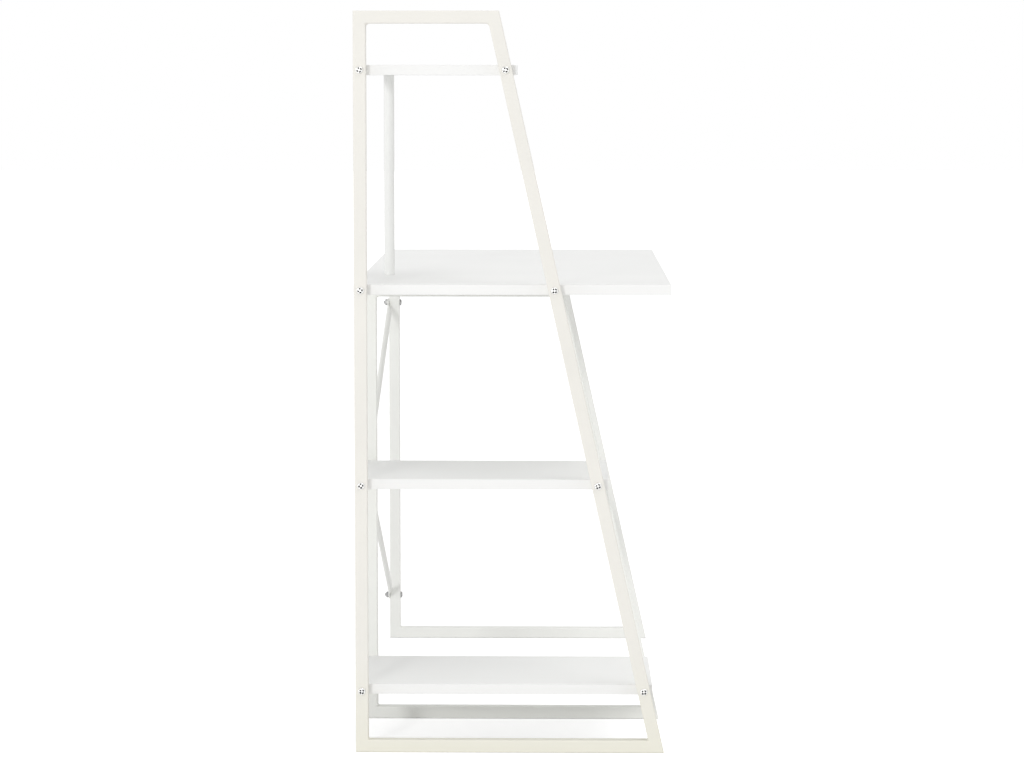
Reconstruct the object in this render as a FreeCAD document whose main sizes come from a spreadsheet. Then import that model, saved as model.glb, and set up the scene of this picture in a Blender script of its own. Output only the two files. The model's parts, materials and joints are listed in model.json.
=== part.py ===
import FreeCAD, Part
import math
import os
import Sketcher

# A ladder desk: three welded side frames of square tube with a sloping front leg, four coated
# boards, a round rod that carries the free end of the top shelf, and two rear stays.
#
# Every piece is drawn from one corner of the desk. X runs right from the outer face of the left
# frame, Y runs back from the rear face of the posts (so the front of the desk has negative Y),
# and Z runs up from the floor. The pieces are then moved together, so that the row's origin lies
# on the floor at the centre of the desk's footprint.

SIZES = [
    ("total_width", 1020, "left face of the left frame to right face of the right frame"),
    ("total_height", 1170, "floor to the top of the left frame"),
    ("desk_height", 742, "floor to the top of the desktop"),
    ("foot_depth", 488.5, "rear of a post to the front of its leg, on the floor"),
    ("top_depth", 227.5, "rear of the left post to the front of its leg, at the top"),
    ("tube", 20, "side of the square tube"),
    ("wall", 1.2, "wall of the square tube"),
    ("tube_round", 2, "outer corner radius of the square tube"),
    ("weld", 5.5, "leg of a weld bead in a frame's upper corners"),
    ("low_weld", 2.5, "leg of a weld bead in a frame's lower corners"),
    ("bay_width", 240, "clear width between the left and the middle frame"),
    ("board", 16, "board thickness"),
    ("edge_band", 1, "thickness of the band round a board"),
    ("edge_round", 0.7, "rounding of the band"),
    ("desktop_depth", 500, "desktop, back to front"),
    ("desktop_back", 2, "desktop behind the rear of the posts"),
    ("top_shelf_height", 1070, "floor to the underside of the top shelf"),
    ("middle_shelf_height", 418, "floor to the underside of the middle shelf"),
    ("bottom_shelf_height", 90, "floor to the underside of the bottom shelf"),
    ("top_shelf_lip", 5, "top shelf in front of the leg"),
    ("middle_shelf_lip", 6.5, "middle shelf in front of the leg"),
    ("bottom_shelf_lip", 3.5, "bottom shelf in front of the leg"),
    ("top_shelf_past_rod", 20, "top shelf to the right of the rod's axis"),
    ("rod", 17, "diameter of the rod"),
    ("rod_wall", 1.5, "wall of the rod"),
    ("rod_back", 41.5, "rear of the posts to the rod's axis"),
    ("rod_insert", 15, "length of the threaded insert in each end of the rod"),
    ("rod_grip", 13, "length of screw inside an insert"),
    ("bolt", 6, "thread diameter of the bolts"),
    ("bolt_head", 3.6, "height of a bolt head"),
    ("bolt_head_width", 12, "diameter of a bolt head"),
    ("bolt_past", 1, "bolt beyond its barrel nut"),
    ("hole_spare", 3, "board hole beyond the end of its bolt"),
    ("bolt_gap", 0.3, "radial clearance of a bolt in tube and board"),
    ("thread_gap", 0.05, "radial clearance that stands for a screw thread"),
    ("nut_inset", 24, "end of a board to its barrel nut"),
    ("barrel_nut", 10, "diameter of a barrel nut"),
    ("barrel_nut_length", 11, "length of a barrel nut"),
    ("nut_gap", 0.1, "clearance of a barrel nut in its hole"),
    ("nut_slot", 1.4, "width and depth of a barrel nut's screwdriver slot"),
    ("hex_nut", 10, "hexagon nut across its flats"),
    ("hex_nut_height", 5, "height of a hexagon nut"),
    ("stay", 10, "diameter of a rear stay"),
    ("stay_wall", 1.2, "wall of a rear stay"),
    ("tab", 2.4, "thickness of a stay's flattened end"),
    ("tab_flat", 21, "flattened end from its bolt in the right post to where it starts to round"),
    ("tab_spare", 0.15, "flat beyond where the two stays part, at the bolt that they share"),
    ("tab_taper", 30, "length over which the flat turns round"),
    ("stay_drop", 12, "meeting point of the stays below the middle shelf's bolts"),
    ("upper_stay_end", 642, "floor to the upper stay's bolt in the right post"),
    ("lower_stay_end", 82, "floor to the lower stay's bolt in the right post"),
    ("stay_bolt_past", 0.2, "stay bolt beyond its nut where both stays are stacked"),
    ("desk_screw", 4.5, "diameter of a desktop screw"),
    ("desk_screw_head", 2.7, "height of its head"),
    ("desk_screw_head_width", 9, "diameter of its head"),
    ("desk_screw_grip", 12, "length of it inside the desktop"),
    ("desk_screw_back", 100, "rear of the posts to the rear desktop screws"),
    ("desk_screw_front", 65, "front desktop screws behind the leg's front face"),
    ("desk_screw_access", 11, "hole under a desktop screw in the lower wall of its bar"),
    ("rod_screw_access", 13.5, "hole under the rod's screw in the lower wall of its bar"),
]

# Lengths that several pieces share, as expressions over the sheet.
LEAN = "((sizes.foot_depth - sizes.top_depth) / sizes.total_height)"
DESK_UNDERSIDE = "(sizes.desk_height - sizes.board)"
MIDDLE_FRAME = "(sizes.tube + sizes.bay_width)"
RIGHT_FRAME = "(sizes.total_width - sizes.tube)"
ROD_X = f"({MIDDLE_FRAME} + sizes.tube / 2)"
RIGHT_POST_X = f"({RIGHT_FRAME} + sizes.tube / 2)"
HALF_BOARD = "sizes.board / 2"
POST_CENTRE = "sizes.tube / 2"
STAYS_MEET = f"(sizes.middle_shelf_height + {HALF_BOARD} - sizes.stay_drop)"
BOLT_HOLE = "sizes.bolt + 2 * sizes.bolt_gap"
BOLT_THREAD = "sizes.bolt + 2 * sizes.thread_gap"
DESK_SCREW_HOLE = "sizes.desk_screw + 2 * sizes.bolt_gap"
DESK_SCREW_PILOT = "sizes.desk_screw + 2 * sizes.thread_gap"
FRAME_BOLT_LENGTH = "(sizes.tube + sizes.nut_inset + sizes.barrel_nut / 2 + sizes.bolt_past)"
BOARD_HOLE_DEPTH = f"({FRAME_BOLT_LENGTH} - sizes.tube + sizes.hole_spare)"
STAY_BOLT_LENGTH = "(sizes.tube + 2 * sizes.tab + sizes.hex_nut_height + sizes.stay_bolt_past)"
HALF_TAB_WIDTH = f"({math.pi / 4:.6f} * sizes.stay)"

# The footprint runs from the bolt heads on the left frame to the right frame, and from the ends
# of the stay bolts to the front edge of the desktop.
ORIGIN_X = "(sizes.total_width - sizes.bolt_head) / 2"
DESKTOP_FRONT = "(sizes.desktop_depth - sizes.desktop_back)"
ORIGIN_Y = f"(({STAY_BOLT_LENGTH} - sizes.tube) - {DESKTOP_FRONT}) / 2"

doc = FreeCAD.newDocument("ladder_desk")
sheet = doc.addObject("Spreadsheet::Sheet", "sizes")
for row, (alias, value, meaning) in enumerate(SIZES, start=1):
    sheet.set(f"A{row}", alias)
    sheet.set(f"B{row}", str(value))
    sheet.set(f"C{row}", meaning)
    sheet.setAlias(f"B{row}", alias)
doc.recompute()

# How near two lengths count as equal when an edge is picked.
TOLERANCE = 0.01

nodes = []


def number(text):
    """Value of an expression over the sheet."""
    return float(sheet.evalExpression(text))


def bind_place(item, x, y, z):
    """Ties an object's position to three expressions in the desk's drawing frame."""
    item.setExpression("Placement.Base.x", f"{x} - {ORIGIN_X}")
    item.setExpression("Placement.Base.y", f"{y} - {ORIGIN_Y}")
    item.setExpression("Placement.Base.z", z)


def keep(item):
    """Marks an object as one of the desk's nodes."""
    nodes.append(item)
    return item


# ---- sketches and features ----

def new_body(name):
    return doc.addObject("PartDesign::Body", name)


def new_sketch(body, plane, name, offset="0"):
    """Empty sketch on one of the body's origin planes, moved along its normal."""
    sketch = body.newObject("Sketcher::SketchObject", f"{body.Name}_{name}")
    support = [item for item in body.Origin.OriginFeatures if item.Role == plane][0]
    sketch.AttachmentSupport = [(support, "")]
    sketch.MapMode = "FlatFace"
    sketch.setExpression("AttachmentOffset.Base.z", offset)
    return sketch


def tie_point(sketch, curve, point, across, up):
    """Ties a point of a curve to its distances from the sketch's origin."""
    for kind, text in (("DistanceX", across), ("DistanceY", up)):
        tie = Sketcher.Constraint(kind, -1, 1, curve, point, number(text))
        index = sketch.addConstraint(tie)
        sketch.setExpression(f"Constraints[{index}]", text)


def draw_polygon(sketch, corners):
    """Closed outline through corners, each given as two expressions."""
    points = [FreeCAD.Vector(number(across), number(up), 0) for across, up in corners]
    first = sketch.GeometryCount
    for index, point in enumerate(points):
        following = (index + 1) % len(points)
        sketch.addGeometry(Part.LineSegment(point, points[following]))
    for index, (across, up) in enumerate(corners):
        following = (index + 1) % len(corners)
        joint = Sketcher.Constraint("Coincident", first + index, 2, first + following, 1)
        sketch.addConstraint(joint)
        tie_point(sketch, first + index, 1, across, up)


def draw_rectangle(sketch, left, right, low, high):
    draw_polygon(sketch, [(left, low), (right, low), (right, high), (left, high)])


def draw_circle(sketch, across, up, diameter):
    centre = FreeCAD.Vector(number(across), number(up), 0)
    radius = number(diameter) / 2
    curve = sketch.addGeometry(Part.Circle(centre, FreeCAD.Vector(0, 0, 1), radius))
    tie_point(sketch, curve, 3, across, up)
    index = sketch.addConstraint(Sketcher.Constraint("Diameter", curve, 2 * radius))
    sketch.setExpression(f"Constraints[{index}]", diameter)


def pad(body, sketch, length, side="One side"):
    feature = body.newObject("PartDesign::Pad", f"{sketch.Name}_pad")
    feature.Profile = sketch
    feature.SideType = side
    feature.setExpression("Length", length)
    return feature


def pocket(body, sketch, depth=None, along_normal=True, side="One side"):
    """Cut from the sketch's plane, along its normal or against it; all the way without a depth."""
    feature = body.newObject("PartDesign::Pocket", f"{sketch.Name}_cut")
    feature.Profile = sketch
    feature.Reversed = along_normal
    feature.SideType = side
    if depth is None:
        feature.Type = "ThroughAll"
    else:
        feature.setExpression("Length", depth)
    return feature


def drill(body, plane, name, holes, diameter, depth=None, offset="0", along_normal=True):
    """Round holes of one diameter, square to one of the body's planes."""
    sketch = new_sketch(body, plane, name, offset)
    for across, up in holes:
        draw_circle(sketch, across, up, diameter)
    return pocket(body, sketch, depth, along_normal)


def dress(body, kind, name, base, size, chosen):
    """Fillet or chamfer on the edges of a feature that a test picks."""
    doc.recompute()
    edges = [f"Edge{n}" for n, edge in enumerate(base.Shape.Edges, start=1) if chosen(edge)]
    feature = body.newObject(f"PartDesign::{kind}", f"{body.Name}_{name}")
    feature.Base = (base, edges)
    feature.setExpression("Radius" if kind == "Fillet" else "Size", size)
    return feature


def runs_along(edge, direction):
    """True for a straight edge parallel to a direction."""
    if edge.Curve.TypeId != "Part::GeomLine":
        return False
    return abs(edge.tangentAt(edge.FirstParameter).dot(direction)) > 0.9999


# ---- the side frames ----

def leg_line(height, inset="0"):
    """Forward distance of the leg's front face at a height, or of a line that far inside it."""
    return f"(sizes.foot_depth - {LEAN} * ({height}) - ({inset}) * sqrt(1 + {LEAN} ^ 2))"


def frame_corner(name, inset, height):
    """Corner of a frame's outline drawn in by an inset, in the sketch plane of its side."""
    top = f"({height} - ({inset}))"
    corners = {
        "rear_bottom": (inset, inset),
        "rear_top": (inset, top),
        "front_top": (leg_line(top, inset), top),
        "front_bottom": (leg_line(inset, inset), inset),
    }
    forward, up = corners[name]
    return f"-({forward})", up


def tube_outline(ends, outer, inner, height):
    """Mitred strip of a frame between two of its corners and two insets."""
    start, end = ends
    return [
        frame_corner(start, outer, height),
        frame_corner(end, outer, height),
        frame_corner(end, inner, height),
        frame_corner(start, inner, height),
    ]


def frame_tube(label, ends, frame_x, height, holes):
    """Square tube of a frame, mitred at both ends, with its bolt holes."""
    body = new_body(label)
    outline = tube_outline(ends, "0", "sizes.tube", height)
    sketch = new_sketch(body, "YZ_Plane", "side")
    draw_polygon(sketch, outline)
    bar = pad(body, sketch, "sizes.tube")
    start, end = [FreeCAD.Vector(0, number(across), number(up)) for across, up in outline[:2]]
    direction = (end - start).normalize()
    dress(body, "Fillet", "corners", bar, "sizes.tube_round",
          lambda edge: runs_along(edge, direction))
    hollow = new_sketch(body, "YZ_Plane", "hollow", "sizes.wall")
    draw_polygon(hollow, tube_outline(ends, "sizes.wall", "sizes.tube - sizes.wall", height))
    pocket(body, hollow, "sizes.tube - 2 * sizes.wall")
    for hole in holes:
        drill(body, *hole)
    bind_place(body, frame_x, "0", "0")
    return keep(body)


def along(start, end, distance):
    """Point at a distance from one expression pair towards another."""
    across = f"(({end[0]}) - ({start[0]}))"
    up = f"(({end[1]}) - ({start[1]}))"
    share = f"(({distance}) / sqrt({across} ^ 2 + {up} ^ 2))"
    return f"({start[0]}) + {across} * {share}", f"({start[1]}) + {up} * {share}"


def frame_welds(label, frame_x, height):
    """Weld beads in the four inner corners of a frame, on the flat of the tube's sides."""
    body = new_body(label)
    sketch = new_sketch(body, "YZ_Plane", "beads", "sizes.tube_round")
    names = ["rear_bottom", "rear_top", "front_top", "front_bottom"]
    inner = [frame_corner(name, "sizes.tube", height) for name in names]
    for index, corner in enumerate(inner):
        leg = "sizes.low_weld" if names[index].endswith("bottom") else "sizes.weld"
        before = inner[index - 1]
        after = inner[(index + 1) % len(inner)]
        draw_polygon(sketch, [corner, along(corner, before, leg), along(corner, after, leg)])
    pad(body, sketch, "sizes.tube - 2 * sizes.tube_round")
    bind_place(body, frame_x, "0", "0")
    return keep(body)


def side_frame(side, frame_x, height, bolt_heights, stay_heights, screws_up):
    """One side frame: four mitred tubes and the beads that join them."""
    bolts_rear = [(f"-({POST_CENTRE})", level) for level in bolt_heights]
    bolts_front = [(f"-{leg_line(level, POST_CENTRE)}", level) for level in bolt_heights]
    post_holes = []
    leg_holes = []
    if bolt_heights:
        post_holes.append(("YZ_Plane", "bolts", bolts_rear, BOLT_HOLE))
        leg_holes.append(("YZ_Plane", "bolts", bolts_front, BOLT_HOLE))
    if stay_heights:
        stays = [(POST_CENTRE, level) for level in stay_heights]
        post_holes.append(("XZ_Plane", "stays", stays, BOLT_HOLE))
    corners = {
        "rear_post": ("rear_bottom", "rear_top", post_holes),
        "front_leg": ("front_top", "front_bottom", leg_holes),
        "top_bar": ("rear_top", "front_top", screws_up),
        "bottom_bar": ("front_bottom", "rear_bottom", []),
    }
    for piece, (start, end, holes) in corners.items():
        frame_tube(f"{side}_{piece}", (start, end), frame_x, height, holes)
    frame_welds(f"{side}_frame_welds", frame_x, height)


# Heights of the bolts, at the middle of each board's thickness.
TOP_BOLTS = f"(sizes.top_shelf_height + {HALF_BOARD})"
DESK_BOLTS = f"({DESK_UNDERSIDE} + {HALF_BOARD})"
MIDDLE_BOLTS = f"(sizes.middle_shelf_height + {HALF_BOARD})"
BOTTOM_BOLTS = f"(sizes.bottom_shelf_height + {HALF_BOARD})"

# Desktop screws stand in the middle and right top bars, the rod's screw in the middle one. Their
# heads lie inside the bar, against its upper wall, and go in through holes in the lower wall.
DESK_SCREW_PLACES = [
    "sizes.desk_screw_back",
    f"({leg_line(DESK_UNDERSIDE)} - sizes.desk_screw_front)",
]
bar_screws = [(POST_CENTRE, f"-{place}") for place in DESK_SCREW_PLACES]
bar_rod_screw = [(POST_CENTRE, "-sizes.rod_back")]
BAR_UNDERSIDE = f"({DESK_UNDERSIDE} - sizes.tube)"
THROUGH_WALL = "2 * sizes.wall"


def bar_holes(name, places, diameter, access):
    """Screw holes in a bar's upper wall, and the access holes below them."""
    return [("XY_Plane", name, places, diameter, THROUGH_WALL, DESK_UNDERSIDE, False),
            ("XY_Plane", f"{name}_access", places, access, THROUGH_WALL, BAR_UNDERSIDE, True)]


desk_screw_holes = bar_holes("desk_screws", bar_screws, DESK_SCREW_HOLE,
                             "sizes.desk_screw_access")
rod_screw_holes = bar_holes("rod_screw", bar_rod_screw, BOLT_HOLE, "sizes.rod_screw_access")

side_frame("left", "0", "sizes.total_height",
           [TOP_BOLTS, DESK_BOLTS, MIDDLE_BOLTS, BOTTOM_BOLTS], [], [])
side_frame("middle", MIDDLE_FRAME, DESK_UNDERSIDE,
           [MIDDLE_BOLTS, BOTTOM_BOLTS], [STAYS_MEET], desk_screw_holes + rod_screw_holes)
side_frame("right", RIGHT_FRAME, DESK_UNDERSIDE,
           [], ["sizes.upper_stay_end", "sizes.lower_stay_end"], desk_screw_holes)


# ---- the boards ----

def board(label, length, back, front, underside, bolt_level, both_ends, upward_holes):
    """Chipboard panel with bolt holes in its ends, and the band that closes its edges."""
    panel = new_body(label)
    sketch = new_sketch(panel, "XY_Plane", "panel")
    draw_rectangle(sketch, "sizes.edge_band", f"{length} - sizes.edge_band",
                   f"-({front}) + sizes.edge_band", f"-({back}) - sizes.edge_band")
    pad(panel, sketch, "sizes.board")

    band = new_body(f"{label}_edge_band")
    sketch = new_sketch(band, "XY_Plane", "ring")
    draw_rectangle(sketch, "0", length, f"-({front})", f"-({back})")
    draw_rectangle(sketch, "sizes.edge_band", f"{length} - sizes.edge_band",
                   f"-({front}) + sizes.edge_band", f"-({back}) - sizes.edge_band")
    ring = pad(band, sketch, "sizes.board")
    outer_x = (0, number(length))
    outer_y = (-number(front), -number(back))

    def on_outside(edge):
        box = edge.BoundBox
        on_end = any(abs(box.XMin - x) + abs(box.XMax - x) < TOLERANCE for x in outer_x)
        on_side = any(abs(box.YMin - y) + abs(box.YMax - y) < TOLERANCE for y in outer_y)
        return (on_end or on_side) and box.ZLength < TOLERANCE

    dress(band, "Fillet", "rounding", ring, "sizes.edge_round", on_outside)

    rows = [POST_CENTRE, leg_line(bolt_level, POST_CENTRE)]
    ends = [("left", "0", True, "sizes.nut_inset")]
    if both_ends:
        ends.append(("right", length, False, f"{length} - sizes.nut_inset"))
    bolts = [(f"-({forward})", HALF_BOARD) for forward in rows]
    for end, offset, along_normal, nut_x in ends:
        drill(panel, "YZ_Plane", f"{end}_bolts", bolts, BOLT_HOLE, BOARD_HOLE_DEPTH,
              offset, along_normal)
        drill(band, "YZ_Plane", f"{end}_bolts", bolts, BOLT_HOLE, "2 * sizes.edge_band",
              offset, along_normal)
        nuts = [(nut_x, f"-({forward})") for forward in rows]
        drill(panel, "XY_Plane", f"{end}_nuts", nuts, "sizes.barrel_nut + 2 * sizes.nut_gap",
              f"({HALF_BOARD} + sizes.barrel_nut_length / 2 + sizes.nut_gap)")
    for hole in upward_holes:
        drill(panel, "XY_Plane", *hole)
    for body in (panel, band):
        bind_place(body, "sizes.tube", "0", underside)
        keep(body)


ROD_ON_BOARD = [(f"{ROD_X} - sizes.tube", "-sizes.rod_back")]
desk_screws_on_board = [
    (f"{bar_x} - sizes.tube", f"-{place}")
    for bar_x in (ROD_X, RIGHT_POST_X)
    for place in DESK_SCREW_PLACES
]
board("desktop", "(sizes.total_width - sizes.tube)", "-sizes.desktop_back", DESKTOP_FRONT,
      DESK_UNDERSIDE, DESK_BOLTS, False,
      [("rod", ROD_ON_BOARD, BOLT_HOLE, None),
       ("desk_screws", desk_screws_on_board, DESK_SCREW_PILOT,
        "sizes.desk_screw_grip + sizes.edge_band")])
board("top_shelf", f"({ROD_X} - sizes.tube + sizes.top_shelf_past_rod)", "0",
      f"({leg_line(TOP_BOLTS)} + sizes.top_shelf_lip)",
      "sizes.top_shelf_height", TOP_BOLTS, False,
      [("rod", ROD_ON_BOARD, BOLT_HOLE, None),
       ("rod_head", ROD_ON_BOARD, "sizes.bolt_head_width + 2 * sizes.bolt_gap", None,
        "sizes.board - sizes.bolt_head")])
board("middle_shelf", "sizes.bay_width", "0",
      f"({leg_line(MIDDLE_BOLTS)} + sizes.middle_shelf_lip)",
      "sizes.middle_shelf_height", MIDDLE_BOLTS, True, [])
board("bottom_shelf", "sizes.bay_width", "0",
      f"({leg_line(BOTTOM_BOLTS)} + sizes.bottom_shelf_lip)",
      "sizes.bottom_shelf_height", BOTTOM_BOLTS, True, [])


# ---- screws and nuts ----

# Shape of a pan head and its cross recess, as shares of the head's height and diameter.
DOME_ROUND = 2 / 3
RECESS_DEPTH = 0.6
RECESS_REACH = 0.35
RECESS_SLOT = 0.08
TIP_CHAMFER = 1 / 8


def screw(name, diameter, length, head_width, head_height):
    """Pan head screw with a cross recess: its head stands on Z = 0 and its shank points down."""
    body = new_body(name)
    sketch = new_sketch(body, "XY_Plane", "head")
    draw_circle(sketch, "0", "0", head_width)
    head = pad(body, sketch, head_height)
    radius = number(head_width) / 2
    top = number(head_height)
    dress(body, "Fillet", "dome", head, f"{head_height} * {DOME_ROUND}",
          lambda edge: edge.BoundBox.ZMin > top - TOLERANCE and edge.Length > radius)
    sketch = new_sketch(body, "XY_Plane", "shank", f"-{length}")
    draw_circle(sketch, "0", "0", diameter)
    shank = pad(body, sketch, length)
    tip = -number(length)
    dress(body, "Chamfer", "tip", shank, f"{diameter} * {TIP_CHAMFER}",
          lambda edge: edge.BoundBox.ZMax < tip + TOLERANCE)
    arm = f"({head_width} * {RECESS_REACH})"
    slot = f"({head_width} * {RECESS_SLOT})"
    sketch = new_sketch(body, "XY_Plane", "recess", head_height)
    draw_polygon(sketch, [
        (arm, slot), (slot, slot), (slot, arm), (f"-{slot}", arm),
        (f"-{slot}", slot), (f"-{arm}", slot), (f"-{arm}", f"-{slot}"),
        (f"-{slot}", f"-{slot}"), (f"-{slot}", f"-{arm}"), (slot, f"-{arm}"),
        (slot, f"-{slot}"), (arm, f"-{slot}"),
    ])
    pocket(body, sketch, f"{head_height} * {RECESS_DEPTH}", along_normal=False)
    return body


def barrel_nut():
    """Cross dowel: it stands along Z about the origin and its thread runs along X."""
    body = new_body("barrel_nut")
    sketch = new_sketch(body, "XY_Plane", "round")
    draw_circle(sketch, "0", "0", "sizes.barrel_nut")
    pad(body, sketch, "sizes.barrel_nut_length", "Symmetric")
    sketch = new_sketch(body, "YZ_Plane", "thread")
    draw_circle(sketch, "0", "0", BOLT_THREAD)
    pocket(body, sketch, "2 * sizes.barrel_nut", side="Symmetric")
    sketch = new_sketch(body, "XY_Plane", "slot", "-sizes.barrel_nut_length / 2")
    draw_rectangle(sketch, "-sizes.barrel_nut", "sizes.barrel_nut",
                   "-sizes.nut_slot / 2", "sizes.nut_slot / 2")
    pocket(body, sketch, "sizes.nut_slot")
    return body


def hexagon_nut():
    """Hexagon nut that stands on Z = 0."""
    body = new_body("hexagon_nut")
    sketch = new_sketch(body, "XY_Plane", "hexagon")
    corner = "(sizes.hex_nut / sqrt(3))"
    turns = [(f"{corner} * {math.cos(math.radians(60 * n)):.6f}",
              f"{corner} * {math.sin(math.radians(60 * n)):.6f}") for n in range(6)]
    draw_polygon(sketch, turns)
    draw_circle(sketch, "0", "0", BOLT_THREAD)
    pad(body, sketch, "sizes.hex_nut_height")
    return body


def rod_insert():
    """Threaded plug that fills one end of the rod, upwards from Z = 0."""
    body = new_body("rod_insert")
    sketch = new_sketch(body, "XY_Plane", "ring")
    draw_circle(sketch, "0", "0", "sizes.rod - 2 * sizes.rod_wall - 2 * sizes.thread_gap")
    draw_circle(sketch, "0", "0", BOLT_THREAD)
    pad(body, sketch, "sizes.rod_insert")
    return body


def copies(label, piece, seats):
    """Node with one copy of a fastener in each seat: x, y and z expressions and a turn."""
    links = []
    for index, (x, y, z, turn) in enumerate(seats, start=1):
        link = doc.addObject("App::Link", f"{label}_{index}")
        link.LinkedObject = piece
        link.Placement = FreeCAD.Placement(FreeCAD.Vector(), turn)
        link.setExpression("Placement.Base.x", x)
        link.setExpression("Placement.Base.y", y)
        link.setExpression("Placement.Base.z", z)
        links.append(link)
    group = doc.addObject("Part::Compound", label)
    group.Links = links
    bind_place(group, "0", "0", "0")
    return keep(group)


# Turns that point a screw's shank right, left, back and up.
SHANK_RIGHT = FreeCAD.Rotation(FreeCAD.Vector(0, 1, 0), -90)
SHANK_LEFT = FreeCAD.Rotation(FreeCAD.Vector(0, 1, 0), 90)
SHANK_BACK = FreeCAD.Rotation(FreeCAD.Vector(1, 0, 0), 90)
SHANK_UP = FreeCAD.Rotation(FreeCAD.Vector(1, 0, 0), 180)
NO_TURN = FreeCAD.Rotation()
NUT_FACING_BACK = FreeCAD.Rotation(FreeCAD.Vector(1, 0, 0), -90)

frame_bolt = screw("frame_bolt", "sizes.bolt", FRAME_BOLT_LENGTH,
                   "sizes.bolt_head_width", "sizes.bolt_head")
stay_bolt = screw("stay_bolt", "sizes.bolt", STAY_BOLT_LENGTH,
                  "sizes.bolt_head_width", "sizes.bolt_head")
desk_screw = screw("desk_screw", "sizes.desk_screw", "(sizes.wall + sizes.desk_screw_grip)",
                   "sizes.desk_screw_head_width", "sizes.desk_screw_head")
dowel = barrel_nut()
hex_nut = hexagon_nut()
insert = rod_insert()


def bolt_rows(level):
    """The two forward distances at which a frame is bolted to a board."""
    return [POST_CENTRE, leg_line(level, POST_CENTRE)]


all_levels = [TOP_BOLTS, DESK_BOLTS, MIDDLE_BOLTS, BOTTOM_BOLTS]
bay_levels = [MIDDLE_BOLTS, BOTTOM_BOLTS]
bay_right = f"({MIDDLE_FRAME} + sizes.tube)"
left_seats = [("0", f"-({forward})", level, SHANK_RIGHT)
              for level in all_levels for forward in bolt_rows(level)]
middle_seats = [(bay_right, f"-({forward})", level, SHANK_LEFT)
                for level in bay_levels for forward in bolt_rows(level)]
left_nuts = [("sizes.tube + sizes.nut_inset", y, z, NO_TURN) for _, y, z, _ in left_seats]
middle_nuts = [(f"{MIDDLE_FRAME} - sizes.nut_inset", y, z, NO_TURN)
               for _, y, z, _ in middle_seats]
copies("left_frame_bolts", frame_bolt, left_seats)
copies("middle_frame_bolts", frame_bolt, middle_seats)
copies("barrel_nuts", dowel, left_nuts + middle_nuts)
copies("desktop_screws", desk_screw,
       [(bar_x, f"-{place}", f"{DESK_UNDERSIDE} - sizes.wall", SHANK_UP)
        for bar_x in (ROD_X, RIGHT_POST_X) for place in DESK_SCREW_PLACES])

# ---- the rod ----

rod_low = "sizes.desk_height"
rod_length = "(sizes.top_shelf_height - sizes.desk_height)"
rod = new_body("shelf_rod")
rod_ring = new_sketch(rod, "XY_Plane", "ring")
draw_circle(rod_ring, "0", "0", "sizes.rod")
draw_circle(rod_ring, "0", "0", "sizes.rod - 2 * sizes.rod_wall")
pad(rod, rod_ring, rod_length)
bind_place(rod, ROD_X, "-sizes.rod_back", rod_low)
keep(rod)
copies("rod_inserts", insert,
       [(ROD_X, "-sizes.rod_back", rod_low, NO_TURN),
        (ROD_X, "-sizes.rod_back", "sizes.top_shelf_height - sizes.rod_insert", NO_TURN)])

rod_screws = [
    ("rod_bottom_screw", "(sizes.wall + sizes.board + sizes.rod_grip)", SHANK_UP,
     f"{DESK_UNDERSIDE} - sizes.wall"),
    ("rod_top_screw", "(sizes.board - sizes.bolt_head + sizes.rod_grip)", NO_TURN,
     "sizes.top_shelf_height + sizes.board - sizes.bolt_head"),
]
for name, length, turn, level in rod_screws:
    rod_screw = screw(name, "sizes.bolt", length, "sizes.bolt_head_width", "sizes.bolt_head")
    rod_screw.Placement = FreeCAD.Placement(FreeCAD.Vector(), turn)
    bind_place(rod_screw, ROD_X, "-sizes.rod_back", level)
    keep(rod_screw)


# ---- the rear stays ----

def round_section(x, radius, centre_y):
    """Circle of four arcs across the stay's axis, its corners at 45 degrees."""
    points = []
    for step in range(8):
        angle = math.radians(45 + 45 * step)
        points.append(FreeCAD.Vector(x, centre_y + radius * math.cos(angle),
                                     radius * math.sin(angle)))
    arcs = [Part.Arc(points[n], points[n + 1], points[(n + 2) % 8]).toShape()
            for n in range(0, 8, 2)]
    return Part.Wire(arcs)


def flat_section(x, half_width, half_thickness, centre_y):
    """Rectangle across the stay's axis, its corners in the same order as the circle's."""
    signs = [(1, 1), (-1, 1), (-1, -1), (1, -1)]
    points = [FreeCAD.Vector(x, centre_y + half_thickness * y, half_width * z)
              for y, z in signs]
    return Part.makePolygon(points + points[:1])


def flattened_end(bolt_x, inward, flat_length, tab_back, tube_y):
    """Tab with its bolt hole and the taper that turns it into the round tube."""
    tab = number("sizes.tab")
    half_width = number(HALF_TAB_WIDTH)
    flat = bolt_x + inward * flat_length
    round_x = flat + inward * number("sizes.tab_taper")
    front = tab_back - tab
    plate = Part.makeBox(flat_length, tab, 2 * half_width,
                         FreeCAD.Vector(min(bolt_x, flat), front, -half_width))
    hub_foot = FreeCAD.Vector(bolt_x, front, 0)
    back = FreeCAD.Vector(0, 1, 0)
    hub = Part.makeCylinder(half_width, tab, hub_foot, back)
    taper = Part.makeLoft([flat_section(flat, half_width, tab / 2, tab_back - tab / 2),
                           round_section(round_x, number("sizes.stay") / 2, tube_y)], True, True)
    hole = Part.makeCylinder(number(BOLT_HOLE) / 2, tab, hub_foot, back)
    return plate.fuse([hub, taper]).cut(hole), round_x


def stay_rise(far_level):
    """Angle of a stay above the level."""
    return math.atan2(number(far_level) - number(STAYS_MEET),
                      number(RIGHT_POST_X) - number(ROD_X))


def shared_flat():
    """Length of flat at the bolt that both stays share, to just past where their sides part."""
    between = stay_rise("sizes.upper_stay_end") - stay_rise("sizes.lower_stay_end")
    return number(HALF_TAB_WIDTH) / math.tan(between / 2) + number("sizes.tab_spare")


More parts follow.
